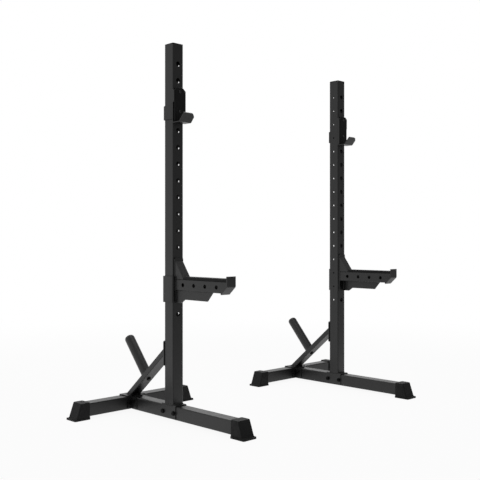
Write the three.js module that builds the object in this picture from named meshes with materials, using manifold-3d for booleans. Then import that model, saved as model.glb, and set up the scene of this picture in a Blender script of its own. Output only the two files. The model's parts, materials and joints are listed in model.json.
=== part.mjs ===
// A pair of free-standing squat stands, one for each end of a barbell.
// Each stand is a T of square tube on three rubber boots, with a drilled upright, a slanting
// brace, a peg for spare plates, a bar hook and a spotter arm. The two are mirror images, except
// that both cross tubes sit off centre to the same side, and so do the hooks' cut corners.
// Millimetres. +Z is up, the front faces -Y, and X runs from one stand to the other.
// Inside a stand, X points outward, away from the other stand, and the upright stands on the Z axis.
import * as THREE from 'three';
import { mergeVertices } from 'three/addons/utils/BufferGeometryUtils.js';
import Module from 'manifold-3d';

const wasm = await Module();
wasm.setup();

// Pair
const standHeight = 1700;
const standSpacing = 1176;

// Main square tube: upright, base tube and cross tube
const tubeSize = 60;
const tubeWall = 3;
const tubeCorner = 5;
const tubeCornerSteps = 2;
const bendSteps = 3;

// Clearances
const seatGap = 0.3;
const boltGap = 0.5;
const cutOverrun = 5;

// Base
const soleThickness = 12;
const baseFrontReach = 451;
const crossBehind = 315;
const crossLength = 624;
const crossOffset = 8;

// Rubber boots over the tube ends
const bootWall = 4;
const bootGrip = 44;
const bootToeFlare = 21;
const bootSideFlare = 2;
const bootFillet = 4;
const bootFlangeOut = 13;
const bootFlangeSide = 2;
const bootFlangeHeight = 8;
const bootCorner = 6;
const bootCornerSteps = 2;

// Row of holes in the upright
const holeRadius = 11.5;
const innerHoleRadius = 4.5;
const holePitch = 75;
const lowestHole = 483;
const leastAboveTopHole = 60;
const holeSides = 16;

// Cap in the top of the upright
const capLip = 3;
const capPlugDepth = 18;
const capPlugWall = 2.5;

// Saddle that carries the upright on the base tube
const saddleLength = 100;
const saddlePlate = 5;
const saddleCheek = 3;
const saddleCheekDrop = 56;
const saddleBend = 5;
const saddleBoltSpread = 76;

// Bracket that ties the cross tube, the base tube and the brace foot together
const yokeWidth = 100;
const yokePlate = 5;
const yokeLegDrop = 58;
const yokeBoltSpread = 84;
const yokeTongueWidth = 36;
const yokeTongueBoltInset = 13;
const tongueBoltToBrace = 0.5;
const tieBoltAhead = 28;
const tieBoltHeight = 40;
const yokeEarReach = 48;
const yokeEarPlate = 3;
const yokeEarDrop = 54;

// Brace
const braceWidth = 60;
const braceDepth = 25;
const braceWall = 2;
const braceCorner = 3;
const braceFootBehindCross = 10;
const braceTopHeight = 326;
const bracePlateWidth = 66;
const bracePlateHeight = 114;
const bracePlateAboveBrace = 34;
const bracePlateThickness = 6;
const bracePlateCorner = 8;
const braceBoltSpread = 76;

// Peg for spare plates
const pegRadius = 24;
const pegWall = 2.5;
const pegLength = 218;
const pegEndRadius = 15;
const pegEndSteps = 4;
const pegFootDepth = 12;
const pegAlongBrace = 218;
const pegSides = 20;

// Bolts
const boltRadius = 5;
const boltHeadFlats = 17;
const boltHeadHeight = 6.4;
const boltNutHeight = 8;
const boltSides = 8;

// Bar hook
const hookHoleFromTop = 2;
const hookPlate = 4;
const hookSideGap = 0.6;
const hookWidth = 68;
const hookBackAbovePin = 39;
const hookFloorBelowPin = 118;
const hookFloorReach = 79;
const hookLipRise = 37;
const hookLipAngle = 48;
const hookLipCornerRadius = 26;
const hookLipCornerSteps = 3;
const hookWrapTopBelowPin = 28;
const hookWrapBottomBelowPin = 100;
const hookWrapTopDrop = 12;
const hookWrapReturn = 64;
const hookFlangeReach = 8;
const hookBend = 7;
const hookPadThickness = 10;
const hookPadAboveFloor = 4;
const hookPadCorner = 10;

// Pins of the hook and the arm
const pinClearance = 0.6;
const pinReach = 46;
const pinTaper = 2.5;
const pinSides = 16;

// Spotter arm
const armHoleFromBottom = 3;
const armPlate = 6;
const armSideGap = 0.9;
const armPlateWidth = 49;
const armPlateAbovePin = 29;
const armPlateBelowPin = 174;
const armPlateCorner = 8;
const armWrapTopBelowPin = 54;
const armWrapHeight = 118;
const armWrapReturn = 62;
const armBend = 8;
const beamWidth = 45;
const beamHeight = 50;
const beamWall = 3;
const beamCorner = 4;
const beamTopBelowPin = 67;
const beamReach = 378;
const beamHoleRadius = 9;
const beamHoleFirst = 89;
const beamHolePitch = 73;
const leastBeyondBeamHole = 60;
const stopPlate = 6;
const stopWidth = 50;
const stopAboveLiner = 10;
const stopFaceBelowTop = 22;
const stopUnderReach = 31;
const stopBelowBeam = 6;
const stopBend = 8;
const linerThickness = 12;
const linerEdge = 2;
const gussetPlate = 4;
const gussetAboveBeam = 80;
const gussetAlongBeam = 57;
const webPlate = 6;
const webOutward = 15;
const webDepth = 39;
const webHeelDepth = 55;
const webHeelReach = 36;
const webHeelRun = 24;
const webReach = 209;
const webToeRun = 34;

const steelBlack = { color: 0x1a1a1b, roughness: 0.42, metalness: 0.35 };
const rubberBlack = { color: 0x101011, roughness: 0.8, metalness: 0 };
const plasticBlack = { color: 0x0c0c0d, roughness: 0.6, metalness: 0 };
const boltBlack = { color: 0x151516, roughness: 0.35, metalness: 0.7 };

// Derived heights and places
const half = tubeSize / 2;
const baseTop = soleThickness + tubeSize;
const baseMiddle = soleThickness + half;
const holeCount = 1 + Math.floor((standHeight - leastAboveTopHole - lowestHole) / holePitch);
const hookPinHeight = lowestHole + (holeCount - 1 - hookHoleFromTop) * holePitch;
const armPinHeight = lowestHole + armHoleFromBottom * holePitch;
const beamHoleCount = 1 + Math.floor((beamReach - leastBeyondBeamHole - beamHoleFirst) / beamHolePitch);
const crossFront = crossBehind - half;
const crossBack = crossBehind + half;
const yokeFront = crossFront - seatGap - yokePlate;
const yokeTop = baseTop + seatGap + yokePlate;
const plateFront = half + seatGap;
const boltHexRadius = boltHeadFlats / Math.sqrt(3);
const tieBoltY = crossFront - tieBoltAhead;
const tieBoltZ = soleThickness + tieBoltHeight;

const radians = (degrees) => (degrees * Math.PI) / 180;

// Solids and booleans

function solidOf(geometry) {
  const bare = geometry.clone();
  bare.deleteAttribute('normal');
  bare.deleteAttribute('uv');
  const merged = mergeVertices(bare);
  return new wasm.Manifold(
    new wasm.Mesh({
      numProp: 3,
      vertProperties: new Float32Array(merged.attributes.position.array),
      triVerts: new Uint32Array(merged.index.array),
    }),
  );
}

function geometryOf(solid) {
  const mesh = solid.getMesh();
  const geometry = new THREE.BufferGeometry();
  geometry.setAttribute('position', new THREE.BufferAttribute(mesh.vertProperties, 3));
  geometry.setIndex(new THREE.BufferAttribute(mesh.triVerts, 1));
  geometry.computeVertexNormals();
  return geometry;
}

function join(...geometries) {
  return geometryOf(geometries.map(solidOf).reduce((sum, solid) => sum.add(solid)));
}

function cut(body, ...tools) {
  return geometryOf(tools.map(solidOf).reduce((rest, tool) => rest.subtract(tool), solidOf(body)));
}

function common(first, second) {
  return geometryOf(solidOf(first).intersect(solidOf(second)));
}

// Outlines

function roundedRectangle(width, height, radius) {
  const x = width / 2;
  const y = height / 2;
  const shape = new THREE.Shape();
  shape.absarc(x - radius, y - radius, radius, 0, Math.PI / 2);
  shape.absarc(radius - x, y - radius, radius, Math.PI / 2, Math.PI);
  shape.absarc(radius - x, radius - y, radius, Math.PI, 1.5 * Math.PI);
  shape.absarc(x - radius, radius - y, radius, 1.5 * Math.PI, 2 * Math.PI);
  shape.closePath();
  return shape;
}

function outline(points) {
  return new THREE.Shape(points.map(([x, y]) => new THREE.Vector2(x, y)));
}

// Runs an outline along Z from low to high
function extrude(shape, low, high, curveSegments = 1) {
  const settings = { depth: high - low, bevelEnabled: false, curveSegments };
  return new THREE.ExtrudeGeometry(shape, settings).translate(0, 0, low);
}

// An outline drawn in (rearward, up), run across the stand from one X to another
function sideProfile(shape, fromX, toX, curveSegments = 1) {
  const geometry = extrude(shape, fromX, toX, curveSegments);
  return geometry.applyMatrix4(new THREE.Matrix4().set(0, 0, 1, 0, 1, 0, 0, 0, 0, 1, 0, 0, 0, 0, 0, 1));
}

// An outline drawn in (outward, up), run rearward from one Y to another
function frontProfile(shape, fromY, toY, curveSegments = 1) {
  const geometry = extrude(shape, -toY, -fromY, curveSegments);
  return geometry.rotateX(Math.PI / 2);
}

function box(fromX, toX, fromY, toY, fromZ, toZ) {
  const geometry = new THREE.BoxGeometry(toX - fromX, toY - fromY, toZ - fromZ);
  return geometry.translate((fromX + toX) / 2, (fromY + toY) / 2, (fromZ + toZ) / 2);
}

// Rectangular tube along Z
function tube(width, depth, wall, corner, low, high) {
  const shape = roundedRectangle(width, depth, corner);
  shape.holes.push(roundedRectangle(width - 2 * wall, depth - 2 * wall, Math.max(corner - wall, wall / 2)));
  return extrude(shape, low, high, tubeCornerSteps);
}

const mainTube = (low, high) => tube(tubeSize, tubeSize, tubeWall, tubeCorner, low, high);

// Round bars whose axis runs along X or Y
function barX(radius, fromX, toX, y, z, sides) {
  const geometry = new THREE.CylinderGeometry(radius, radius, toX - fromX, sides);
  return geometry.rotateZ(-Math.PI / 2).translate((fromX + toX) / 2, y, z);
}

function barY(radius, fromY, toY, x, z, sides) {
  const geometry = new THREE.CylinderGeometry(radius, radius, toY - fromY, sides);
  return geometry.translate(0, (fromY + toY) / 2, 0).rotateY(Math.PI / sides).translate(x, 0, z);
}

// Round solid on the Y axis from its half profile, which starts and ends on the axis
function turned(profile, sides) {
  return new THREE.LatheGeometry(profile.map(([x, y]) => new THREE.Vector2(x, y)), sides);
}

// Strip of sheet along a path, on the path's left, with every left-hand bend rounded
function bentStrip(path, thickness, bend) {
  const corners = path.map(([x, y]) => new THREE.Vector2(x, y));
  const left = (d) => new THREE.Vector2(-d.y, d.x);
  const heading = (i) => corners[i + 1].clone().sub(corners[i]).normalize();
  const near = [];
  const far = [];
  corners.forEach((corner, i) => {
    if (i === 0 || i === corners.length - 1) {
      const side = left(heading(Math.min(i, corners.length - 2))).multiplyScalar(thickness);
      near.push(corner);
      far.push(corner.clone().add(side));
      return;
    }
    const before = heading(i - 1);
    const turn = Math.acos(before.dot(heading(i)));
    const start = corner.clone().addScaledVector(before, -bend * Math.tan(turn / 2));
    const centre = start.clone().addScaledVector(left(before), bend);
    for (let k = 0; k <= bendSteps; k++) {
      const arm = start.clone().sub(centre).rotateAround(new THREE.Vector2(), (turn * k) / bendSteps);
      near.push(centre.clone().add(arm));
      far.push(centre.clone().addScaledVector(arm, (bend - thickness) / bend));
    }
  });
  return new THREE.Shape([...near, ...far.reverse()]);
}

// Hex bolt along Z with its nut, clamping what lies between low and high
function bolt(low, high) {
  const hex = (height) =>
    new THREE.CylinderGeometry(boltHexRadius, boltHexRadius, height, 6).rotateX(Math.PI / 2);
  const shankLow = low - seatGap - boltNutHeight - boltRadius / 2;
  const shankHigh = high + boltHeadHeight;
  const shank = new THREE.CylinderGeometry(boltRadius, boltRadius, shankHigh - shankLow, boltSides);
  shank.rotateX(Math.PI / 2).translate(0, 0, (shankLow + shankHigh) / 2);
  return join(
    shank,
    hex(boltHeadHeight).translate(0, 0, high + seatGap + boltHeadHeight / 2),
    hex(boltNutHeight).translate(0, 0, low - seatGap - boltNutHeight / 2),
  );
}

const boltHoleX = (fromX, toX, y, z) => barX(boltRadius + boltGap, fromX, toX, y, z, boltSides);
const boltHoleY = (fromY, toY, x, z) => barY(boltRadius + boltGap, fromY, toY, x, z, boltSides);

const saddleBoltHoles = (reach) =>
  [-1, 1].map((side) => boltHoleX(-reach, reach, (side * saddleBoltSpread) / 2, baseMiddle));

function tongueBoltHole() {
  const length = tubeWall + yokePlate + 2 * cutOverrun;
  const hole = new THREE.CylinderGeometry(boltRadius + boltGap, boltRadius + boltGap, length, boltSides);
  return hole.rotateX(Math.PI / 2).translate(0, tongueBoltY, baseTop);
}

function mesh(name, geometry, finish) {
  const made = new THREE.Mesh(geometry, new THREE.MeshStandardMaterial(finish));
  made.name = name;
  return made;
}

// Base tubes

function baseTube() {
  const body = mainTube(-baseFrontReach, yokeFront - seatGap);
  body.rotateX(-Math.PI / 2).translate(0, 0, baseMiddle);
  const reach = half + cutOverrun;
  const tieHole = boltHoleX(-reach, reach, tieBoltY, tieBoltZ);
  return cut(body, ...saddleBoltHoles(reach), tieHole, tongueBoltHole());
}

function crossTube(shift) {
  const body = mainTube(-crossLength / 2, crossLength / 2).rotateY(Math.PI / 2);
  body.translate(shift, crossBehind, baseMiddle);
  const holes = [-1, 1].map((side) =>
    boltHoleY(crossFront - cutOverrun, crossBack + cutOverrun, (side * yokeBoltSpread) / 2, baseMiddle),
  );
  return cut(body, ...holes);
}

// A boot drawn round a tube whose end is at Y = 0 and which comes in from +Y
function boot() {
  const inner = half + seatGap;
  const outer = inner + bootWall;
  const toe = seatGap + bootWall;
  const top = baseTop + seatGap + bootWall;
  const ring = (halfWidth, front, z) => {
    const shape = roundedRectangle(2 * halfWidth, bootGrip + front, bootCorner);
    const points = shape.getPoints(bootCornerSteps).slice(0, -1);
    return points.map((p) => new THREE.Vector3(p.x, p.y + (bootGrip - front) / 2, z));
  };
  const wide = outer + bootSideFlare;
  const flared = toe + bootToeFlare;
  const flange = [wide + bootFlangeSide, flared + bootFlangeOut];
  const rings = [
    ring(...flange, 0),
    ring(...flange, bootFlangeHeight),
    ring(wide, flared + bootFillet, bootFlangeHeight),
    ring(wide, flared, bootFlangeHeight + bootFillet),
    ring(outer, toe, top - bootWall / 2),
    ring(outer - bootWall / 2, toe - bootWall / 2, top),
  ];
  const body = loft(rings);
  const hollow = roundedRectangle(2 * inner, 2 * inner, tubeCorner);
  const socket = extrude(hollow, -seatGap, bootGrip + cutOverrun, tubeCornerSteps);
  return cut(body, socket.rotateX(-Math.PI / 2).translate(0, 0, baseMiddle));
}

// Closed solid through rings with the same number of points
function loft(rings) {
  const count = rings[0].length;
  const centre = (ring) => ring.reduce((sum, p) => sum.add(p), new THREE.Vector3()).divideScalar(count);
  const ends = [centre(rings[0]), centre(rings[rings.length - 1])];
  const positions = [...rings.flat(), ...ends].flatMap((p) => p.toArray());
  const faces = [];
  const bottom = rings.length * count;
  const lastRing = (rings.length - 1) * count;
  for (let i = 0; i < count; i++) {
    const next = (i + 1) % count;
    for (let r = 0; r + 1 < rings.length; r++) {
      const a = r * count;
      const b = a + count;
      faces.push(a + i, a + next, b + next, a + i, b + next, b + i);
    }
    faces.push(bottom, next, i, bottom + 1, lastRing + i, lastRing + next);
  }
  const geometry = new THREE.BufferGeometry();
  geometry.setAttribute('position', new THREE.Float32BufferAttribute(positions, 3));
  geometry.setIndex(faces);
  return geometry;
}

// Upright and its foot

const uprightFoot = baseTop + seatGap + saddlePlate + seatGap;
const uprightTop = standHeight - capLip - seatGap;

function upright() {
  const tools = [];
  for (let i = 0; i < holeCount; i++) {
    const z = lowestHole + i * holePitch;
    tools.push(barY(holeRadius, -half - cutOverrun, half + cutOverrun, 0, z, holeSides));
    tools.push(barX(innerHoleRadius, -half - cutOverrun, 0, 0, z, boltSides));
  }
  for (const z of braceBoltHeights) tools.push(boltHoleY(0, half + cutOverrun, 0, z));
  return cut(mainTube(uprightFoot, uprightTop), ...tools);
}

function uprightCap() {
  const plugSize = tubeSize - 2 * tubeWall - 2 * seatGap;
  const plugCorner = Math.max(tubeCorner - tubeWall, tubeWall / 2);
  const section = roundedRectangle(tubeSize, tubeSize, tubeCorner);
  const lip = extrude(section, standHeight - capLip, standHeight, tubeCornerSteps);
  const plugLow = uprightTop - capPlugDepth;
  const plug = tube(plugSize, plugSize, capPlugWall, plugCorner, plugLow, standHeight - capLip / 2);
  return join(lip, plug);
}

function saddle() {
  const cheekInner = half + seatGap;
  const cheekOuter = cheekInner + saddleCheek;
  const under = baseTop + seatGap;
  const low = under - saddleCheekDrop;
  const body = frontProfile(outline([
    [-cheekOuter, low],
    [-cheekInner, low],
    [-cheekInner, under],
    [cheekInner, under],
    [cheekInner, low],
    [cheekOuter, low],
    [cheekOuter, under + saddlePlate - saddleBend],
    [cheekOuter - saddleBend, under + saddlePlate],
    [saddleBend - cheekOuter, under + saddlePlate],
    [-cheekOuter, under + saddlePlate - saddleBend],
  ]), -saddleLength / 2, saddleLength / 2);
  return cut(body, ...saddleBoltHoles(cheekOuter + cutOverrun));
}

// Yoke over the cross tube, with a tongue forward over the base tube

function yoke() {
  const front = yokeFront;
  const back = crossBack + seatGap + yokePlate;
  const under = yokeTop - yokePlate;
  const low = under - yokeLegDrop;
  const shape = outline([
    [front, low],
    [front + yokePlate, low],
    [front + yokePlate, under],
    [back - yokePlate, under],
    [back - yokePlate, low],
    [back, low],
    [back, yokeTop - yokePlate / 2],
    [back - yokePlate / 2, yokeTop],
    [front + yokePlate / 2, yokeTop],
    [front, yokeTop - yokePlate / 2],
  ]);
  const body = sideProfile(shape, -yokeWidth / 2, yokeWidth / 2);
  const tongueHalf = yokeTongueWidth / 2;
  const tongueFront = tongueBoltY - yokeTongueBoltInset;
  const tongue = box(-tongueHalf, tongueHalf, tongueFront, front + yokePlate, under, yokeTop);
  const earInner = half + seatGap;
  const earOuter = earInner + yokeEarPlate;
  const ears = [-1, 1].map((side) => {
    const x = [side * earInner, side * earOuter].sort((a, b) => a - b);
    return box(x[0], x[1], crossFront - yokeEarReach, front + yokePlate, under - yokeEarDrop, under);
  });
  const tieHole = boltHoleX(-earOuter - cutOverrun, earOuter + cutOverrun, tieBoltY, tieBoltZ);
  const legHoles = [-1, 1].map((side) =>
    boltHoleY(front - cutOverrun, back + cutOverrun, (side * yokeBoltSpread) / 2, baseMiddle),
  );
  return cut(join(body, tongue, ...ears), tongueBoltHole(), tieHole, ...legHoles);
}

// Brace

const bracePlateFront = half + seatGap;
const bracePlateBack = bracePlateFront + bracePlateThickness;
const braceFoot = yokeTop + seatGap;
const braceRise = braceTopHeight - braceFoot;
const braceRun = crossBehind + braceFootBehindCross - bracePlateBack;
const braceSlope = Math.atan2(braceRise, braceRun);
// The tongue's bolt stands just ahead of the brace's underside, as high as its head reaches
const tongueBoltTop = yokeTop + seatGap + boltHeadHeight;
const braceUnderBack =
  braceDepth / Math.sin(braceSlope) + (tongueBoltTop - braceFoot) / Math.tan(braceSlope);
const tongueBoltY = crossBehind + braceFootBehindCross - braceUnderBack - boltHexRadius - tongueBoltToBrace;
const bracePlateTop = braceTopHeight + bracePlateAboveBrace;
const braceBoltHeights = [1, -1].map(
  (side) => bracePlateTop - (bracePlateHeight - side * braceBoltSpread) / 2,
);

// Turns a piece so that its Z axis runs up the brace and its Y axis stands square out of the
// brace's rear face, with its origin on that face at a distance down from the upright's plate
function onBrace(geometry, along) {
  const back = along * Math.cos(braceSlope);
  const down = along * Math.sin(braceSlope);
  geometry.rotateX(Math.PI / 2 - braceSlope);
  return geometry.translate(0, bracePlateBack + back, braceTopHeight - down);
}

function brace() {
  const length = Math.hypot(braceRise, braceRun);
  const over = 2 * braceDepth;
  const bar = tube(braceWidth, braceDepth, braceWall, braceCorner, -length - over, over);
  const middle = (bracePlateFront + bracePlateBack) / 2;
  const behind = middle + length + braceDepth;
  const keep = box(-braceWidth, braceWidth, middle, behind, braceFoot, braceTopHeight + braceDepth);
  const trimmed = common(onBrace(bar.translate(0, -braceDepth / 2, 0), 0), keep);
  const plate = frontProfile(
    roundedRectangle(bracePlateWidth, bracePlateHeight, bracePlateCorner),
    bracePlateFront,
    bracePlateBack,
    tubeCornerSteps,
  );
  plate.translate(0, 0, bracePlateTop - bracePlateHeight / 2);
  const plateHoles = braceBoltHeights.map((z) => boltHoleY(0, bracePlateBack + cutOverrun, 0, z));
  return cut(join(trimmed, plate), ...plateHoles, pegBoltHole());
}

function pegBoltHole() {
  const reach = 2 * braceDepth;
  const hole = new THREE.CylinderGeometry(boltRadius + boltGap, boltRadius + boltGap, 2 * reach, boltSides);
  return onBrace(hole, pegAlongBrace);
}

// Tube for spare plates, square to the brace, with a thick foot that its bolt clamps
function peg() {
  const end = [];
  for (let i = 0; i <= pegEndSteps; i++) {
    const angle = (i / pegEndSteps) * (Math.PI / 2);
    const inward = pegEndRadius * (1 - Math.cos(angle));
    end.push([pegRadius - inward, pegLength - pegEndRadius * (1 - Math.sin(angle))]);
  }
  const skin = turned([[0, seatGap], [pegRadius, seatGap], ...end, [0, pegLength]], pegSides);
  const inner = pegRadius - pegWall;
  const bore = turned([
    [0, pegFootDepth],
    [inner, pegFootDepth],
    [inner, pegLength - pegEndRadius],
    [0, pegLength - pegEndRadius],
  ], pegSides);
  return cut(onBrace(cut(skin, bore), pegAlongBrace), pegBoltHole());
}

// Pins of the hook and the arm, which plug into the row of holes

const pinRadius = holeRadius - pinClearance;

function pin(plate, height) {
  const end = pinReach - half;
  const length = end + plateFront + plate;
  const profile = [
    [0, 0],
    [pinRadius, 0],
    [pinRadius, length - pinTaper],
    [pinRadius - pinTaper, length],
    [0, length],
  ];
  return turned(profile, pinSides).translate(0, end - length, height);
}

const pinHole = (plate, height) =>
  barY(pinRadius + seatGap, -plateFront - plate - cutOverrun, cutOverrun - plateFront, 0, height, pinSides);

// Sheet bent round the outside and the back of the upright
function wrap(plate, sideGap, bend, frontEnd, backReturn, low, high) {
  const outer = half + sideGap + plate;
  const front = -plateFront - plate;
  const path = [
    [frontEnd, front],
    [outer, front],
    [outer, outer],
    [outer - backReturn, outer],
  ];
  return extrude(bentStrip(path, plate, bend), low, high);
}

// Bar hook

const hookFloor = hookPinHeight - hookFloorBelowPin;
const hookTop = hookPinHeight + hookBackAbovePin;
const hookWrapTop = hookPinHeight - hookWrapTopBelowPin;
const hookWrapBottom = hookPinHeight - hookWrapBottomBelowPin;
const hookInner = -hookWidth / 2;
const hookPadInner = hookInner + hookPlate + seatGap;
const hookLipRun = hookLipRise / Math.tan(radians(hookLipAngle));
const hookLipTip = hookFloorReach + hookLipRun;

// The lips of both stands are cut away at the corner towards +X, so cutSide differs between them
function hookBracket(cutSide) {
  const outer = half + hookSideGap + hookPlate;
  const front = -plateFront - hookPlate - hookFlangeReach;
  const path = [
    [-hookLipTip, hookFloor + hookLipRise],
    [-hookFloorReach, hookFloor],
    [-plateFront, hookFloor],
    [-plateFront, hookTop],
  ];
  const hook = sideProfile(bentStrip(path, hookPlate, hookBend), hookInner, -hookInner);
  const turn = [hookPlate, hookSideGap, hookBend, hookInner, hookWrapReturn];
  const band = wrap(...turn, hookWrapBottom, hookWrapTop);
  const slope = sideProfile(outline([
    [-half, hookWrapTop],
    [outer + cutOverrun, hookWrapTop - hookWrapTopDrop],
    [outer + cutOverrun, hookWrapTop + cutOverrun],
    [-half, hookWrapTop + cutOverrun],
  ]), -outer, outer + cutOverrun);
  const flange = (x, low) =>
    box(x, x + hookPlate, front, -plateFront - hookPlate / 2, low, hookTop - hookPadCorner);
  const innerFlange = flange(hookInner, hookFloor + hookBend);
  const outerFlange = flange(-hookInner - hookPlate, hookWrapTop + hookPlate);
  const clips = [
    roundOff(-cutSide * hookInner, -cutSide, -hookLipTip - cutOverrun, hookPlate - hookFloorReach),
    clip(hookInner, 1, hookTop, hookPadCorner, front, 0),
    clip(-hookInner, -1, hookTop, hookPadCorner, front, 0),
  ];
  const body = join(hook, cut(band, slope), innerFlange, outerFlange);
  return cut(body, ...clips, pinHole(hookPlate, hookPinHeight));
}

// Tool that rounds a top corner of the sloping lip at x, where side is +1 for the corner on the -X side
function roundOff(x, side, fromY, toY) {
  const top = hookFloor + hookLipRise;
  const rise = hookLipCornerRadius * Math.sin(radians(hookLipAngle));
  const points = [];
  for (let k = 0; k <= hookLipCornerSteps; k++) {
    const angle = (k / hookLipCornerSteps) * (Math.PI / 2);
    points.push([
      x + side * hookLipCornerRadius * (1 - Math.cos(angle)),
      top - rise * (1 - Math.sin(angle)),
    ]);
  }
  points[0][0] -= side * cutOverrun;
  points[hookLipCornerSteps][1] += cutOverrun;
  points.push([x - side * cutOverrun, top + cutOverrun]);
  return frontProfile(outline(side > 0 ? points : points.reverse()), fromY, toY);
}

// Wedge that takes off a top corner at (x, z), where side is +1 for a corner on the -X side
function clip(x, side, z, size, fromY, toY) {
  const over = cutOverrun;
  const points = [
    [x - side * over, z - size - over],
    [x + side * (size + over), z + over],
    [x - side * over, z + over],
  ];
  return frontProfile(outline(side > 0 ? points : points.reverse()), fromY, toY);
}

function hookPad() {
  const back = -plateFront - hookPlate - seatGap;
  const low = hookFloor + hookPlate + hookPadAboveFloor;
  const shape = outline([
    [hookPadInner, low],
    [-hookPadInner, low],
    [-hookPadInner, hookTop - hookPadCorner],
    [-hookPadInner - hookPadCorner, hookTop],
    [hookPadInner + hookPadCorner, hookTop],
    [hookPadInner, hookTop - hookPadCorner],
  ]);
  return frontProfile(shape, back - hookPadThickness, back);
}

// Spotter arm

const armFront = plateFront + armPlate;
const armStart = armFront + seatGap;
const beamTop = armPinHeight - beamTopBelowPin;
const beamBottom = beamTop - beamHeight;
const gussetFoot = armStart + gussetAlongBeam;

function armBracket() {
  const high = armPinHeight - armWrapTopBelowPin;
  const turn = [armPlate, armSideGap, armBend, -armPlateWidth / 2, armWrapReturn];
  const sheet = wrap(...turn, high - armWrapHeight, high);
  const plateHeight = armPlateAbovePin + armPlateBelowPin;
  const shape = roundedRectangle(armPlateWidth, plateHeight, armPlateCorner);
  const plate = frontProfile(shape, -armFront, -plateFront, tubeCornerSteps);
  plate.translate(0, 0, armPinHeight + armPlateAbovePin - plateHeight / 2);
  return cut(join(sheet, plate), pinHole(armPlate, armPinHeight));
}

function armBeam() {
  const skin = stopPlate + seatGap;
  const rise = beamHeight - stopFaceBelowTop;
  const shift = (skin * Math.hypot(rise, stopUnderReach)) / rise;
  const body = tube(beamWidth, beamHeight, beamWall, beamCorner, armStart, beamReach);
  body.rotateX(Math.PI / 2).translate(0, 0, beamTop - beamHeight / 2);
  const keep = sideProfile(outline([
    [-armStart, beamBottom],
    [-armStart, beamTop],
    [skin - beamReach, beamTop],
    [skin - beamReach, beamTop - stopFaceBelowTop + ((shift - skin) * rise) / stopUnderReach],
    [stopUnderReach + shift - beamReach, beamBottom],
  ]), -beamWidth, beamWidth);
  const holes = [];
  for (let i = 0; i < beamHoleCount; i++) {
    const y = -beamHoleFirst - i * beamHolePitch;
    holes.push(barX(beamHoleRadius, -beamWidth, beamWidth, y, beamTop - beamHeight / 2, holeSides));
  }
  return cut(common(body, keep), ...holes);
}

function armStop() {
  const below = stopBelowBeam / (beamHeight - stopFaceBelowTop);
  const path = [
    [-beamReach, beamTop + seatGap + linerThickness + stopAboveLiner],
    [-beamReach, beamTop - stopFaceBelowTop],
    [stopUnderReach * (1 + below) - beamReach, beamBottom - stopBelowBeam],
  ];
  return sideProfile(bentStrip(path, stopPlate, stopBend), -stopWidth / 2, stopWidth / 2);
}

function armLiner() {
  const x = beamWidth / 2;
  const low = beamTop + seatGap;
  const high = low + linerThickness;
  const shape = outline([
    [-x, low],
    [x, low],
    [x, high - linerEdge],
    [x - linerEdge, high],
    [linerEdge - x, high],
    [-x, high - linerEdge],
  ]);
  return frontProfile(shape, stopPlate + seatGap - beamReach, -gussetFoot - seatGap);
}

// Folded sheet that braces the beam from above: two cheeks and a sloping front, open behind and below
function armGusset() {
  const low = beamTop + seatGap;
  const high = beamTop + gussetAboveBeam;
  const rise = high - low;
  const shift = (gussetPlate * Math.hypot(rise, gussetAlongBeam)) / rise;
  const over = (cutOverrun * gussetAlongBeam) / rise;
  const skin = outline([
    [-gussetFoot, low],
    [-armStart, low],
    [-armStart, high],
  ]);
  const hollow = outline([
    [shift - gussetFoot - over, low - cutOverrun],
    [cutOverrun - armStart, low - cutOverrun],
    [cutOverrun - armStart, high - ((shift - cutOverrun) * rise) / gussetAlongBeam],
  ]);
  const x = beamWidth / 2;
  return cut(sideProfile(skin, -x, x), sideProfile(hollow, gussetPlate - x, x - gussetPlate));
}

// Flat web under the beam, towards its outer side, deeper at the heel
function armWeb() {
  const high = beamBottom - seatGap;
  const heel = armStart + webHeelReach;
  const toe = armStart + webReach;
  const shape = outline([
    [-toe - webToeRun, high],
    [-toe, high - webDepth],
    [-heel - webHeelRun, high - webDepth],
    [-heel, high - webHeelDepth],
    [-armStart, high - webHeelDepth],
    [-armStart, high],
  ]);
  return sideProfile(shape, webOutward - webPlate / 2, webOutward + webPlate / 2);
}

// One stand

function boltAcross(halfSpan, y, z) {
  return bolt(-halfSpan, halfSpan).rotateY(Math.PI / 2).translate(0, y, z);
}

function boltBack(fromY, toY, x, z) {
  return bolt(fromY, toY).rotateX(-Math.PI / 2).translate(x, 0, z);
}

function boltPieces() {
  const saddleSpan = half + seatGap + saddleCheek;
  const tieSpan = half + seatGap + yokeEarPlate;
  const yokeBack = crossBack + seatGap + yokePlate;
  const [upper, lower] = braceBoltHeights;
  const acrossYoke = (x) =>
    boltBack(-yokeBack, -yokeFront, 0, 0).rotateZ(Math.PI).translate(x, 0, baseMiddle);
  const behindUpright = (z) => boltBack(half - tubeWall, bracePlateBack, 0, z);
  return {
    saddle_bolt_front: boltAcross(saddleSpan, -saddleBoltSpread / 2, baseMiddle),
    saddle_bolt_rear: boltAcross(saddleSpan, saddleBoltSpread / 2, baseMiddle),
    tie_bolt: boltAcross(tieSpan, tieBoltY, tieBoltZ),
    tongue_bolt: bolt(baseTop - tubeWall, yokeTop).translate(0, tongueBoltY, 0),
    yoke_bolt_outer: acrossYoke(yokeBoltSpread / 2),
    yoke_bolt_inner: acrossYoke(-yokeBoltSpread / 2),
    brace_bolt_upper: behindUpright(upper),
    brace_bolt_lower: behindUpright(lower),
    peg_bolt: onBrace(bolt(-seatGap - pegFootDepth, braceDepth).rotateX(Math.PI / 2), pegAlongBrace),
  };
}

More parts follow.
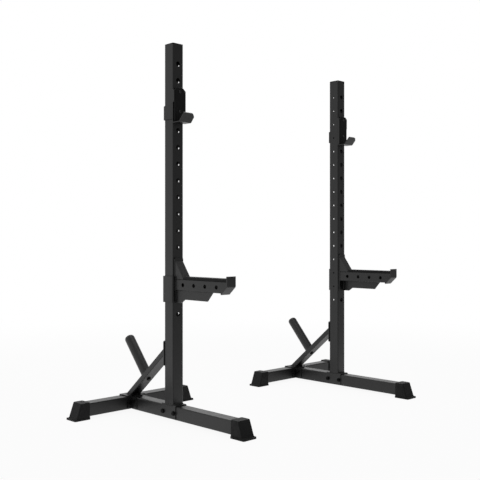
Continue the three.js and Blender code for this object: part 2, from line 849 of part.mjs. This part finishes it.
// The cross tube's offset and the lip's cut corner don't follow the mirror: sameWay turns them round
function stand(prefix, sameWay) {
  const group = new THREE.Group();
  const crossShift = sameWay * crossOffset;
  const endBoot = (turn, x) => boot().rotateZ(turn).translate(crossShift + x, crossBehind, 0);
  const add = (finish, pieces) => {
    for (const [name, geometry] of Object.entries(pieces)) {
      group.add(mesh(`${prefix}_${name}`, geometry, finish));
    }
  };
  add(steelBlack, {
    base_tube: baseTube(),
    cross_tube: crossTube(crossShift),
    upright: upright(),
    saddle: saddle(),
    yoke: yoke(),
    brace: brace(),
    plate_peg: peg(),
    hook_bracket: hookBracket(sameWay),
    arm_bracket: armBracket(),
    arm_beam: armBeam(),
    arm_stop: armStop(),
    arm_gusset: armGusset(),
    arm_web: armWeb(),
  });
  add(boltBlack, boltPieces());
  add(boltBlack, { hook_pin: pin(hookPlate, hookPinHeight), arm_pin: pin(armPlate, armPinHeight) });
  add(plasticBlack, { upright_cap: uprightCap(), hook_pad: hookPad(), arm_liner: armLiner() });
  add(rubberBlack, {
    front_boot: boot().translate(0, -baseFrontReach, 0),
    outer_boot: endBoot(Math.PI / 2, crossLength / 2),
    inner_boot: endBoot(-Math.PI / 2, -crossLength / 2),
  });
  return group;
}

const pair = new THREE.Group();
const right = stand('right', 1);
right.position.x = standSpacing / 2;
const left = stand('left', -1);
left.position.x = -standSpacing / 2;
left.scale.x = -1;
pair.add(right, left);
// The pair's box is centred on the origin from side to side and from front to back
const middle = new THREE.Box3().setFromObject(pair).getCenter(new THREE.Vector3());
pair.position.set(-middle.x, -middle.y, 0);

export default pair;
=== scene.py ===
"""Dresses the pair of squat stands: soft edges, weld beads, real bolts, materials, light and camera."""
import json
import math

import bmesh
import bpy
from mathutils import Matrix, Vector, noise

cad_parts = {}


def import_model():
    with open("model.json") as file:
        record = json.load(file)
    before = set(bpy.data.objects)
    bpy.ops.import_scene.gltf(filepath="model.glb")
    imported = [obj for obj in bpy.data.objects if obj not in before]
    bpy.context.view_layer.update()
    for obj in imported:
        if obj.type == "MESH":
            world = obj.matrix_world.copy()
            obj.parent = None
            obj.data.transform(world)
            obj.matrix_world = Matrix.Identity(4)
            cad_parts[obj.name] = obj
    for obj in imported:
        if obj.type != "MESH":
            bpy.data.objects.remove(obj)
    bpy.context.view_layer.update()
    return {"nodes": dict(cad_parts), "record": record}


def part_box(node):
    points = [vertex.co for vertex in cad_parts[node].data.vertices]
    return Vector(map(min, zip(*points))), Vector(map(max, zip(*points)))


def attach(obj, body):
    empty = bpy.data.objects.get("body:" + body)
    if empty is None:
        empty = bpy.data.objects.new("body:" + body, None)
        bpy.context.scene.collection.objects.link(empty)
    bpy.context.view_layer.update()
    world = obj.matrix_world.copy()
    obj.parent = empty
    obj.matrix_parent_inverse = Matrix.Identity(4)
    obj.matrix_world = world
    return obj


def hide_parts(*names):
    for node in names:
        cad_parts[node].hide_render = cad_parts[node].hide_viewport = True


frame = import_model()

SIDES = ("left", "right")
X, Y, Z = Vector((1, 0, 0)), Vector((0, 1, 0)), Vector((0, 0, 1))

# Sizes of the CAD source that the pieces made here follow, in metres
TUBE = 0.060
HALF = TUBE / 2
GAP = 0.0003
BRACE_PLATE = 0.006
BRACE_WIDTH = 0.060
BRACE_DEPTH = 0.025
BRACE_TOP = 0.326

# Camera, fitted to the edges of the tubes in the photograph
CAMERA_FROM_UPRIGHTS = Vector((-2.8125, -2.7106, 0.818))
CAMERA_TILT = 90
CAMERA_TURN = -44.271
FOCAL_PIXELS = 771.666
FRAME_PIXELS = 480
PRINCIPAL_Y = 239.565
SENSOR = 36.0


def outward(side):
    """The sign of the direction along X that points away from the other stand."""
    return 1 if side == "right" else -1


def foot(side):
    """The middle of an upright's lower end."""
    low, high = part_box(f"{side}_upright")
    return Vector(((low.x + high.x) / 2, (low.y + high.y) / 2, low.z))


def place(side, out, back, up):
    """A point of a stand, from its distance outward, behind the upright's axis and above the floor."""
    base = foot(side)
    return Vector((base.x + outward(side) * out, base.y + back, up))


# Node trees


class Nodes:
    """Short helper that builds a node tree."""

    def __init__(self, tree):
        self.tree = tree

    def add(self, kind, **sockets):
        node = self.tree.nodes.new(kind)
        for key, value in sockets.items():
            node.inputs[key].default_value = value
        return node

    def link(self, start, end):
        self.tree.links.new(start, end)

    def maths(self, operation, *values):
        """The result of an operation on sockets and numbers."""
        node = self.add("ShaderNodeMath")
        node.operation = operation
        for socket, value in zip(node.inputs, values):
            if isinstance(value, float):
                socket.default_value = value
            else:
                self.link(value, socket)
        return node.outputs["Value"]

    def ramp(self, value, low, high, start, end, smooth=False):
        """Goes from low to high while the value goes from start to end."""
        node = self.add("ShaderNodeMapRange")
        if smooth:
            node.interpolation_type = "SMOOTHSTEP"
        node.inputs["From Min"].default_value = start
        node.inputs["From Max"].default_value = end
        node.inputs["To Min"].default_value = low
        node.inputs["To Max"].default_value = high
        self.link(value, node.inputs["Value"])
        return node.outputs["Result"]

    def towards(self, vector, direction):
        """How far a vector reaches along a direction."""
        node = self.add("ShaderNodeVectorMath")
        node.operation = "DOT_PRODUCT"
        node.inputs[1].default_value = direction
        self.link(vector, node.inputs[0])
        return node.outputs["Value"]

    def blend(self, share, first, second):
        """Mixes two shaders."""
        node = self.add("ShaderNodeMixShader")
        self.link(share, node.inputs["Fac"])
        self.link(first, node.inputs[1])
        self.link(second, node.inputs[2])
        return node.outputs["Shader"]


# Materials

NOISE_LOW = 0.3
NOISE_HIGH = 0.7


class Coat(Nodes):
    """A material whose colour, gloss and bump come from procedural textures."""

    def __init__(self, name):
        self.material = bpy.data.materials.new(name)
        self.material.use_nodes = True
        super().__init__(self.material.node_tree)
        self.shader = self.tree.nodes["Principled BSDF"]
        self.where = self.add("ShaderNodeTexCoord").outputs["Object"]

    def noise(self, scale, detail, roughness=0.5):
        node = self.add("ShaderNodeTexNoise", Scale=scale, Detail=detail, Roughness=roughness)
        self.link(self.where, node.inputs["Vector"])
        return node.outputs["Fac"]

    def cells(self, scale):
        node = self.add("ShaderNodeTexVoronoi", Scale=scale)
        self.link(self.where, node.inputs["Vector"])
        return node.outputs["Distance"]

    def colour(self, value, dark, pale):
        node = self.add("ShaderNodeValToRGB")
        stops = ((NOISE_LOW, dark), (NOISE_HIGH, pale))
        for element, (position, shade) in zip(node.color_ramp.elements, stops):
            element.position = position
            element.color = (*shade, 1)
        self.link(value, node.inputs["Fac"])
        self.link(node.outputs["Color"], self.shader.inputs["Base Color"])

    def gloss(self, value, smooth, rough):
        roughness = self.ramp(value, smooth, rough, NOISE_LOW, NOISE_HIGH)
        self.link(roughness, self.shader.inputs["Roughness"])

    def bump(self, height, strength, distance):
        node = self.add("ShaderNodeBump", Strength=strength, Distance=distance)
        self.link(height, node.inputs["Height"])
        self.link(node.outputs["Normal"], self.shader.inputs["Normal"])

    def finer(self, height, detail, share):
        """A height with a share of a finer one added."""
        return self.maths("MULTIPLY_ADD", detail, share, height)


def powder_coat(name, dark, pale):
    """Satin black powder coat: orange peel, a fine grain and faint cloudy changes of gloss."""
    coat = Coat(name)
    peel = coat.noise(scale=900.0, detail=2.0, roughness=0.6)
    grain = coat.noise(scale=3200.0, detail=1.0)
    coat.colour(coat.noise(scale=9.0, detail=4.0), dark, pale)
    coat.gloss(coat.noise(scale=35.0, detail=5.0, roughness=0.6), smooth=0.36, rough=0.42)
    coat.bump(coat.finer(peel, grain, share=0.35), strength=0.22, distance=0.0002)
    coat.shader.inputs["IOR"].default_value = 1.5
    return coat.material


def black_oxide():
    """Fasteners: oiled black oxide, brighter on raised grain."""
    coat = Coat("black_oxide")
    coat.colour(coat.noise(scale=160.0, detail=3.0), (0.0012, 0.0012, 0.0012), (0.0030, 0.0030, 0.0031))
    coat.gloss(coat.noise(scale=420.0, detail=3.0), smooth=0.36, rough=0.50)
    coat.shader.inputs["Specular IOR Level"].default_value = 0.08
    coat.bump(coat.noise(scale=1500.0, detail=2.0), strength=0.15, distance=0.0001)
    return coat.material


def screw_steel():
    """Screws of the hook pads: a paler, worn black finish on steel."""
    coat = Coat("screw_steel")
    coat.colour(coat.noise(scale=260.0, detail=3.0), (0.022, 0.022, 0.023), (0.040, 0.040, 0.041))
    coat.gloss(coat.noise(scale=700.0, detail=3.0), smooth=0.30, rough=0.42)
    coat.bump(coat.noise(scale=2200.0, detail=2.0), strength=0.12, distance=0.0001)
    coat.shader.inputs["Metallic"].default_value = 0.35
    return coat.material


def moulded_rubber():
    """Boots: matt black rubber with a fine moulded texture and dusty variation."""
    coat = Coat("moulded_rubber")
    dust = coat.noise(scale=22.0, detail=5.0, roughness=0.6)
    coat.colour(dust, (0.0042, 0.0042, 0.0044), (0.0066, 0.0066, 0.0068))
    coat.gloss(coat.noise(scale=60.0, detail=4.0), smooth=0.52, rough=0.66)
    coat.shader.inputs["Specular IOR Level"].default_value = 0.21
    grain = coat.finer(coat.cells(scale=650.0), coat.noise(scale=2400.0, detail=2.0), share=0.5)
    coat.bump(grain, strength=0.35, distance=0.0003)
    return coat.material


def moulded_plastic():
    """Pads, liners and caps: black plastic with a spark-eroded grain."""
    coat = Coat("moulded_plastic")
    coat.colour(coat.noise(scale=30.0, detail=3.0), (0.0026, 0.0026, 0.0027), (0.0042, 0.0042, 0.0043))
    coat.gloss(coat.noise(scale=200.0, detail=3.0), smooth=0.48, rough=0.60)
    coat.shader.inputs["Specular IOR Level"].default_value = 0.17
    coat.bump(coat.noise(scale=1800.0, detail=3.0, roughness=0.7), strength=0.30, distance=0.0002)
    return coat.material


def weld_metal():
    """Weld beads under the same powder coat, a little glossier where the coat pools."""
    coat = Coat("coated_weld")
    coat.colour(coat.noise(scale=120.0, detail=3.0), (0.0050, 0.0050, 0.0053), (0.0080, 0.0080, 0.0083))
    coat.gloss(coat.noise(scale=300.0, detail=3.0), smooth=0.30, rough=0.42)
    coat.bump(coat.noise(scale=900.0, detail=3.0), strength=0.25, distance=0.0003)
    return coat.material


MATERIALS = {
    "frame": powder_coat("powder_coat", (0.0030, 0.0030, 0.0032), (0.0048, 0.0048, 0.0050)),
    "fasteners": black_oxide(),
    "rubber": moulded_rubber(),
    "plastic": moulded_plastic(),
}
# A darker copy of the same powder coat for the hook and arm brackets: painted shade, standing in for the
# shade on the bracket fronts among the pad, lip, gusset and web
BRACKET_PAINTED_SHADE = powder_coat("bracket_coat_painted_shade", (0.0016, 0.0016, 0.0016), (0.0026, 0.0026, 0.0027))
WELD = weld_metal()
SCREW = screw_steel()

# Edges

EDGE_WIDTH = {"frame": 0.0007, "fasteners": 0.0004, "rubber": 0.0018, "plastic": 0.0012}
EDGE_STEPS = 2
EDGE_ANGLE = math.radians(40)
SHARP_ANGLE = math.radians(32)
JOIN_DISTANCE = 0.000005
FLAT_WEIGHT = 90


def shade_smooth(data):
    for polygon in data.polygons:
        polygon.use_smooth = True


def soften(piece, width):
    """Joins the triangles of a solid, rounds its sharp edges and shades its curves smooth."""
    joined = piece.modifiers.new("joined", "WELD")
    joined.merge_threshold = JOIN_DISTANCE
    edge = piece.modifiers.new("edge", "BEVEL")
    edge.width = width
    edge.segments = EDGE_STEPS
    edge.limit_method = "ANGLE"
    edge.angle_limit = EDGE_ANGLE
    normals = piece.modifiers.new("normals", "WEIGHTED_NORMAL")
    normals.weight = FLAT_WEIGHT
    shade_smooth(piece.data)


def dress_nodes():
    """Gives every carried-over node its material and soft edges."""
    slots = {row["node"]: row["material_slot"] for row in frame["record"]["subparts"]}
    for name, node in frame["nodes"].items():
        # The brackets take the darker copy of the coat, which is painted shade
        material = BRACKET_PAINTED_SHADE if name.endswith("_bracket") else MATERIALS[slots[name]]
        node.data.materials.clear()
        node.data.materials.append(material)
        soften(node, EDGE_WIDTH[slots[name]])


# Pieces made here


def piece_from(name, mesh, material, body):
    """Puts a finished bmesh into the scene as a piece that rides on a body."""
    bmesh.ops.recalc_face_normals(mesh, faces=mesh.faces)
    data = bpy.data.meshes.new(name)
    mesh.to_mesh(data)
    mesh.free()
    data.materials.append(material)
    shade_smooth(data)
    piece = bpy.data.objects.new(name, data)
    bpy.context.scene.collection.objects.link(piece)
    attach(piece, body)
    return piece


def sharpen(piece):
    """Keeps the hard edges of a smooth-shaded piece."""
    piece.data.set_sharp_from_angle(angle=SHARP_ANGLE)


def skin(mesh, rings, closed_loop=False):
    """Faces between rings of vertices, with a face over each end unless the rings form a loop."""
    count = len(rings[0])
    pairs = list(zip(rings, rings[1:]))
    if closed_loop:
        pairs.append((rings[-1], rings[0]))
    for near, far in pairs:
        for i in range(count):
            j = (i + 1) % count
            mesh.faces.new((near[i], near[j], far[j], far[i]))
    if not closed_loop:
        mesh.faces.new(list(reversed(rings[0])))
        mesh.faces.new(rings[-1])


# Weld beads

BEAD_RADIUS = 0.0024
SEAM_RADIUS = 0.0018
TOE_RADIUS = 0.0016
BEAD_STEP = 0.0013
BEAD_SIDES = 8
RIPPLE_LENGTH = 0.0042
RIPPLE_SHARE = 0.14
WANDER_SHARE = 0.10
WANDER_SCALE = 160
END_SHARE = 0.45
END_STEP_SHARE = 0.25
OFF_AXIS = Vector((0.31, 0.47, 0.83))


def resample(points, closed):
    """Points at even steps along a polyline."""
    loop = points + [points[0]] if closed else points
    lengths = [(end - start).length for start, end in zip(loop, loop[1:])]
    total = sum(lengths)
    count = max(3, round(total / BEAD_STEP))
    spots = []
    for k in range(count if closed else count + 1):
        travel = total * k / count
        i = 0
        while i < len(lengths) - 1 and travel > lengths[i]:
            travel -= lengths[i]
            i += 1
        spots.append(loop[i].lerp(loop[i + 1], min(1.0, travel / lengths[i])))
    return spots


def bead_radius(spot, k, radius):
    """The radius of a bead at one of its spots, with ripples and a slow wander."""
    ripple = abs(math.sin(math.pi * k * BEAD_STEP / RIPPLE_LENGTH))
    size = radius * (1 - RIPPLE_SHARE + RIPPLE_SHARE * ripple)
    return size * (1 + WANDER_SHARE * noise.noise(spot * WANDER_SCALE))


def weld(name, points, body, closed=False, radius=BEAD_RADIUS):
    """A rippled bead laid along a polyline."""
    spots = resample(points, closed)
    count = len(spots)
    mesh = bmesh.new()
    rings = []
    for k, spot in enumerate(spots):
        before = spots[k - 1] if closed or k else spot
        after = spots[(k + 1) % count] if closed or k < count - 1 else spot
        along = (after - before).normalized()
        side = along.cross(OFF_AXIS).normalized()
        up = along.cross(side)
        size = bead_radius(spot, k, radius)
        if not closed:
            size *= min(1.0, END_SHARE + END_STEP_SHARE * min(k, count - 1 - k))
        ring = []
        for i in range(BEAD_SIDES):
            angle = 2 * math.pi * i / BEAD_SIDES
            ring.append(mesh.verts.new(spot + size * (math.cos(angle) * side + math.sin(angle) * up)))
        rings.append(ring)
    skin(mesh, rings, closed_loop=closed)
    piece_from(name, mesh, WELD, body)


CORNER_STEPS = 3


def rectangle(centre, across, along, half_across, half_along, corner):
    """Points round a rectangle with rounded corners, in the plane of two unit vectors."""
    points = []
    for quarter, (sign_across, sign_along) in enumerate(((1, 1), (-1, 1), (-1, -1), (1, -1))):
        for step in range(CORNER_STEPS + 1):
            angle = math.pi / 2 * (quarter + step / CORNER_STEPS)
            a = sign_across * (half_across - corner) + corner * math.cos(angle)
            b = sign_along * (half_along - corner) + corner * math.sin(angle)
            points.append(centre + a * across + b * along)
    return points


TUBE_CORNER = 0.005
BRACE_CORNER = 0.003


def brace_slope():
    """The angle of the brace above the floor."""
    low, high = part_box("right_brace")
    return math.atan2(BRACE_TOP - low.z, high.y - foot("right").y - HALF - GAP - BRACE_PLATE)


def stand_welds(side):
    """Welds of the frame: the upright on its saddle, and the brace between its plate and the yoke."""
    low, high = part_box(f"{side}_brace")
    slope = brace_slope()
    plate_back = HALF + GAP + BRACE_PLATE
    half_width = BRACE_WIDTH / 2
    half_drop = BRACE_DEPTH / math.cos(slope) / 2
    half_reach = BRACE_DEPTH / math.sin(slope) / 2
    brace_top = place(side, 0, plate_back, BRACE_TOP - half_drop)
    brace_foot = place(side, 0, high.y - foot(side).y - half_reach, low.z)
    outlines = {
        "upright_weld": rectangle(foot(side), X, Y, HALF, HALF, TUBE_CORNER),
        "brace_top_weld": rectangle(brace_top, X, Z, half_width, half_drop, BRACE_CORNER),
        "brace_foot_weld": rectangle(brace_foot, X, Y, half_width, half_reach, BRACE_CORNER),
    }
    for name, outline in outlines.items():
        weld(f"{side}_{name}", outline, "stands", closed=True)


BEAM_CORNER = 0.004
GUSSET_INSET = 0.001
WEB_END_INSET = 0.003
SEAM_START = 0.004
SEAM_END_INSET = 0.010
TOE_INSET = 0.002


def arm_welds(side):
    """Welds of the spotter arm: the beam, gusset and web on the bracket, and the beam's own seams."""
    body = f"{side}_arm"
    beam_low, beam_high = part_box(f"{side}_arm_beam")
    gusset_low, gusset_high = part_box(f"{side}_arm_gusset")
    web_low, web_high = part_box(f"{side}_arm_web")
    root = beam_high.y
    middle = (beam_low + beam_high) / 2
    half = (beam_high - beam_low) / 2
    beam_root = Vector((middle.x, root, middle.z))
    weld(
        f"{side}_beam_weld",
        rectangle(beam_root, X, Z, half.x, half.z, BEAM_CORNER),
        body,
        closed=True,
    )
    for tag, sign in (("a", -1), ("b", 1)):
        gusset_x = middle.x + sign * (half.x - GUSSET_INSET)
        web_x = (web_low.x + web_high.x) / 2 + sign * (web_high.x - web_low.x) / 2
        seams = {
            "gusset_weld": [
                Vector((gusset_x, root, gusset_high.z)),
                Vector((gusset_x, root, beam_high.z)),
            ],
            "web_weld": [
                Vector((web_x, root, web_low.z + WEB_END_INSET)),
                Vector((web_x, root, web_high.z)),
            ],
            "web_seam": [
                Vector((web_x, root - SEAM_START, web_high.z)),
                Vector((web_x, web_low.y + SEAM_END_INSET, web_high.z)),
            ],
        }
        for name, line in seams.items():
            weld(f"{side}_{name}_{tag}", line, body, radius=SEAM_RADIUS)
    toe = [
        Vector((middle.x + sign * (half.x - TOE_INSET), gusset_low.y, beam_high.z)) for sign in (-1, 1)
    ]
    weld(f"{side}_gusset_toe_weld", toe, body, radius=TOE_RADIUS)


# Bolts

FLATS = 0.017
CHAMFER_SHARE = 0.97
FACE_SHARE = 0.80
CHAMFER_HEIGHT = 0.0012
HEAD_HEIGHT = 0.0064
NUT_HEIGHT = 0.008
FLANGE_RADIUS = 0.0108
FLANGE_HEIGHT = 0.0016
RIM_SHARE = 0.45
SHANK_RADIUS = 0.005
SHANK_SHARE = 0.95
NUT_TO_END = 0.0025
THREAD_PITCH = 0.0015
CREST_SHARE = 0.98
ROOT_SHARE = 0.88
TIP_SHARE = 0.80
ROUND_SIDES = 36


def ring_of(mesh, matrix, height, radius_at):
    """A ring of vertices about the local Z axis, whose radius is a function of the angle."""
    ring = []
    for i in range(ROUND_SIDES):
        angle = 2 * math.pi * i / ROUND_SIDES
        radius = radius_at(angle)
        spot = Vector((radius * math.cos(angle), radius * math.sin(angle), height))
        ring.append(mesh.verts.new(matrix @ spot))
    return ring


def turned(mesh, matrix, profile):
    """A closed body about the local Z axis, from heights and radii."""
    skin(mesh, [ring_of(mesh, matrix, height, radius_at) for height, radius_at in profile])


def circle(radius):
    """The radius of a circle at any angle."""
    return lambda angle: radius


def hexagon(flats):
    """The radius of a hexagon at any angle, from its width across flats."""
    sixth = math.pi / 3
    return lambda angle: flats / 2 / math.cos((angle % sixth) - sixth / 2)


def hex_body(mesh, matrix, low, high):
    """A head or nut with a flange at its low end and a turned top. High may lie below low."""
    way = 1 if high > low else -1
    sides = hexagon(FLATS)
    turned(
        mesh,
        matrix,
        (
            (low, circle(FLANGE_RADIUS)),
            (low + way * FLANGE_HEIGHT * RIM_SHARE, circle(FLANGE_RADIUS)),
            (low + way * FLANGE_HEIGHT, sides),
            (high - way * CHAMFER_HEIGHT, sides),
            (high, lambda angle: min(sides(angle), FLATS / 2 * CHAMFER_SHARE)),
            (high, circle(FLATS / 2 * FACE_SHARE)),
        ),
    )


def threaded_end(mesh, matrix, low, high):
    """A round shank with a rolled thread and a turned tip at its low end."""
    profile = [(low, circle(SHANK_RADIUS * TIP_SHARE))]
    steps = max(2, round((high - low) / (THREAD_PITCH / 2)))
    for k in range(1, steps + 1):
        share = CREST_SHARE if k % 2 == 1 else ROOT_SHARE
        profile.append((low + (high - low) * k / steps, circle(SHANK_RADIUS * share)))
    turned(mesh, matrix, profile)


def bolt(node, toward):
    """A flanged hex bolt with its nut in place of a CAD bolt. toward is the direction its head faces."""
    axis = Vector(toward).normalized()
    reach = [vertex.co.dot(axis) for vertex in frame["nodes"][node].data.vertices]
    head_top, tip = max(reach), min(reach)
    low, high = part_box(node)
    centre = (low + high) / 2
    base = centre - centre.dot(axis) * axis
    matrix = Matrix.Translation(base) @ axis.to_track_quat("Z", "Y").to_matrix().to_4x4()
    nut_end = tip + NUT_TO_END
    nut_seat = nut_end + NUT_HEIGHT
    shank = circle(SHANK_RADIUS * SHANK_SHARE)
    mesh = bmesh.new()
    hex_body(mesh, matrix, head_top - HEAD_HEIGHT, head_top)
    hex_body(mesh, matrix, nut_seat, nut_end)
    threaded_end(mesh, matrix, tip, nut_seat + THREAD_PITCH)
    turned(mesh, matrix, ((nut_seat, shank), (head_top - HEAD_HEIGHT / 2, shank)))
    piece = piece_from(f"{node}_threaded", mesh, MATERIALS["fasteners"], "stands")
    sharpen(piece)
    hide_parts(node)


def bolts(side):
    """Every bolt of a stand, with the direction that its head faces."""
    out = outward(side) * X
    slope = brace_slope()
    under_brace = -(math.sin(slope) * Y + math.cos(slope) * Z)
    ways = {
        "saddle_bolt_front": out,
        "saddle_bolt_rear": out,
        "tie_bolt": out,
        "tongue_bolt": Z,
        "yoke_bolt_outer": -Y,
        "yoke_bolt_inner": -Y,
        "brace_bolt_upper": Y,
        "brace_bolt_lower": Y,
        "peg_bolt": under_brace,
    }
    for name, way in ways.items():
        bolt(f"{side}_{name}", way)


# Screws of the hook pads

SCREW_RADIUS = 0.0062
SCREW_HEIGHT = 0.0026
SOCKET_RADIUS = 0.0028
SOCKET_FLATS = 2 * SOCKET_RADIUS * math.cos(math.pi / 6)
DOME_INNER_SHARE = 1.2
RIM_INNER_SHARE = 1.15
DOME_STEPS = 5
PAD_SCREW_HEIGHTS = (1.4796, 1.3906)
PAD_SCREW_OUT = 0.001


def button_screw(name, centre, body):
    """A low button head with a hexagon socket, facing the front."""
    matrix = Matrix.Translation(centre) @ (-Y).to_track_quat("Z", "Y").to_matrix().to_4x4()
    dome_inner = SOCKET_RADIUS * DOME_INNER_SHARE
    profile = [(-SCREW_HEIGHT, circle(SCREW_RADIUS))]
    for step in range(DOME_STEPS):
        angle = math.pi / 2 * step / DOME_STEPS
        radius = dome_inner + (SCREW_RADIUS - dome_inner) * math.cos(angle)
        profile.append((SCREW_HEIGHT * math.sin(angle), circle(radius)))
    profile.append((SCREW_HEIGHT, circle(SOCKET_RADIUS * RIM_INNER_SHARE)))
    profile.append((SCREW_HEIGHT, hexagon(SOCKET_FLATS)))
    profile.append((0.0, hexagon(SOCKET_FLATS)))
    mesh = bmesh.new()
    turned(mesh, matrix, profile)
    piece = piece_from(name, mesh, SCREW, body)
    sharpen(piece)


def pad_screws(side):
    """The two screws that hold a hook's pad."""
    pad_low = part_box(f"{side}_hook_pad")[0]
    for tag, height in zip(("upper", "lower"), PAD_SCREW_HEIGHTS):
        spot = place(side, PAD_SCREW_OUT, 0, height)
        spot.y = pad_low.y
        button_screw(f"{side}_pad_screw_{tag}", spot, f"{side}_hook")


# Floor

WHITE = (1, 1, 1, 1)
FLOOR_SIZE = 400.0
FLOOR_DROP = 0.0005
FLOOR_COLOUR = (0.74, 0.74, 0.74, 1)
FLOOR_ROUGHNESS = 0.9
FLOOR_GLOW_SHARE = 0.92
FLOOR_FADE_START = 1.2
FLOOR_FADE_END = 4.5
FLOOR_DIM_START = -0.15
FLOOR_DIM_END = -0.70


def pale_floor():
    """White to the camera with a soft shadow, white alone far off, and dimmer in reflections in front."""
    material = bpy.data.materials.new("pale_floor")
    material.use_nodes = True
    nodes = Nodes(material.node_tree)
    shader = nodes.tree.nodes["Principled BSDF"]
    shader.inputs["Base Color"].default_value = FLOOR_COLOUR
    shader.inputs["Roughness"].default_value = FLOOR_ROUGHNESS
    shader.inputs["Specular IOR Level"].default_value = 0.0
    glow = nodes.add("ShaderNodeEmission", Color=WHITE, Strength=1.0)
    path = nodes.add("ShaderNodeLightPath")
    where = nodes.add("ShaderNodeTexCoord").outputs["Object"]
    split = nodes.add("ShaderNodeSeparateXYZ")
    nodes.link(where, split.inputs["Vector"])
    behind = nodes.ramp(split.outputs["Y"], 0.0, 1.0, FLOOR_DIM_END, FLOOR_DIM_START, smooth=True)
    mirrored = nodes.maths("MULTIPLY", path.outputs["Is Glossy Ray"], behind)
    straight = nodes.maths("MAXIMUM", path.outputs["Is Camera Ray"], path.outputs["Is Transmission Ray"])
    seen = nodes.maths("MAXIMUM", straight, mirrored)
    distance = nodes.add("ShaderNodeVectorMath")
    distance.operation = "LENGTH"
    nodes.link(where, distance.inputs[0])
    fade = nodes.ramp(
        distance.outputs["Value"], FLOOR_GLOW_SHARE, 1.0, FLOOR_FADE_START, FLOOR_FADE_END, smooth=True
    )
    share = nodes.maths("MULTIPLY", seen, fade)
    surface = nodes.blend(share, shader.outputs["BSDF"], glow.outputs["Emission"])
    nodes.link(surface, nodes.tree.nodes["Material Output"].inputs["Surface"])
    return material


def floor():
    """A wide plane just below the boots."""
    mesh = bmesh.new()
    bmesh.ops.create_grid(mesh, x_segments=1, y_segments=1, size=FLOOR_SIZE / 2)
    data = bpy.data.meshes.new("floor")
    mesh.to_mesh(data)
    mesh.free()
    data.materials.append(pale_floor())
    plane = bpy.data.objects.new("floor", data)
    plane.location.z = -FLOOR_DROP
    bpy.context.scene.collection.objects.link(plane)


# World

WORLD_SOFT = 0.58
WORLD_GLOSS_BRIGHT = 0.75
WORLD_GLOSS_DIM = 0.26
DIM_TOWARD = Vector((0.34, -0.93, 0.10)).normalized()
DIM_START = -0.35
DIM_END = 0.75
WORLD_GLOSS_RISE = 0.30
RISE_TOWARD = Vector((0.72, 0.67, 0.18)).normalized()
RISE_START = 0.55
RISE_END = 0.95


def world():
    """White to the camera, soft to surfaces, and in reflections dimmer in front and brighter behind."""
    made = bpy.data.worlds.new("studio")
    bpy.context.scene.world = made
    made.use_nodes = True
    made.node_tree.nodes.clear()
    nodes = Nodes(made.node_tree)
    path = nodes.add("ShaderNodeLightPath")
    way = nodes.add("ShaderNodeTexCoord").outputs["Generated"]
    fall = nodes.ramp(
        nodes.towards(way, DIM_TOWARD),
        WORLD_GLOSS_BRIGHT,
        WORLD_GLOSS_DIM,
        DIM_START,
        DIM_END,
        smooth=True,
    )
    rise = nodes.ramp(
        nodes.towards(way, RISE_TOWARD), 0.0, WORLD_GLOSS_RISE, RISE_START, RISE_END, smooth=True
    )
    soft = nodes.add("ShaderNodeBackground", Color=WHITE, Strength=WORLD_SOFT)
    gloss = nodes.add("ShaderNodeBackground", Color=WHITE)
    nodes.link(nodes.maths("ADD", fall, rise), gloss.inputs["Strength"])
    white = nodes.add("ShaderNodeBackground", Color=WHITE)
    lit = nodes.blend(
        path.outputs["Is Glossy Ray"], soft.outputs["Background"], gloss.outputs["Background"]
    )
    seen = nodes.blend(path.outputs["Is Camera Ray"], lit, white.outputs["Background"])
    nodes.link(seen, nodes.add("ShaderNodeOutputWorld").inputs["Surface"])


# Lamps and camera


def lamp(name, spot, aim, size, watts):
    """A square lamp that points at a place."""
    light = bpy.data.lights.new(name, "AREA")
    light.shape = "SQUARE"
    light.size = size
    light.energy = watts
    lamp_object = bpy.data.objects.new(name, light)
    lamp_object.location = spot
    lamp_object.rotation_euler = (Vector(aim) - Vector(spot)).to_track_quat("-Z", "Y").to_euler()
    bpy.context.scene.collection.objects.link(lamp_object)


def lamps():
    lamp("overhead", spot=(0.0, 0.3, 3.6), aim=(0.0, 0.0, 0.0), size=3.0, watts=43)
    lamp("left", spot=(-3.8, 0.4, 1.0), aim=(0.0, 0.1, 0.6), size=2.2, watts=3)


def camera():
    """The photograph's view."""
    lens = bpy.data.cameras.new("photo")
    lens.sensor_width = SENSOR
    lens.lens = SENSOR * FOCAL_PIXELS / FRAME_PIXELS
    lens.shift_y = (PRINCIPAL_Y - FRAME_PIXELS / 2) / FRAME_PIXELS
    eye = bpy.data.objects.new("photo", lens)
    between = (foot("left") + foot("right")) / 2
    eye.location = CAMERA_FROM_UPRIGHTS + Vector((between.x, between.y, 0))
    eye.rotation_euler = (math.radians(CAMERA_TILT), 0, math.radians(CAMERA_TURN))
    bpy.context.scene.collection.objects.link(eye)
    bpy.context.scene.camera = eye


camera()
dress_nodes()
for side in SIDES:
    stand_welds(side)
    arm_welds(side)
    bolts(side)
    pad_screws(side)
floor()
world()
lamps()
bpy.context.scene.view_settings.view_transform = "Standard"
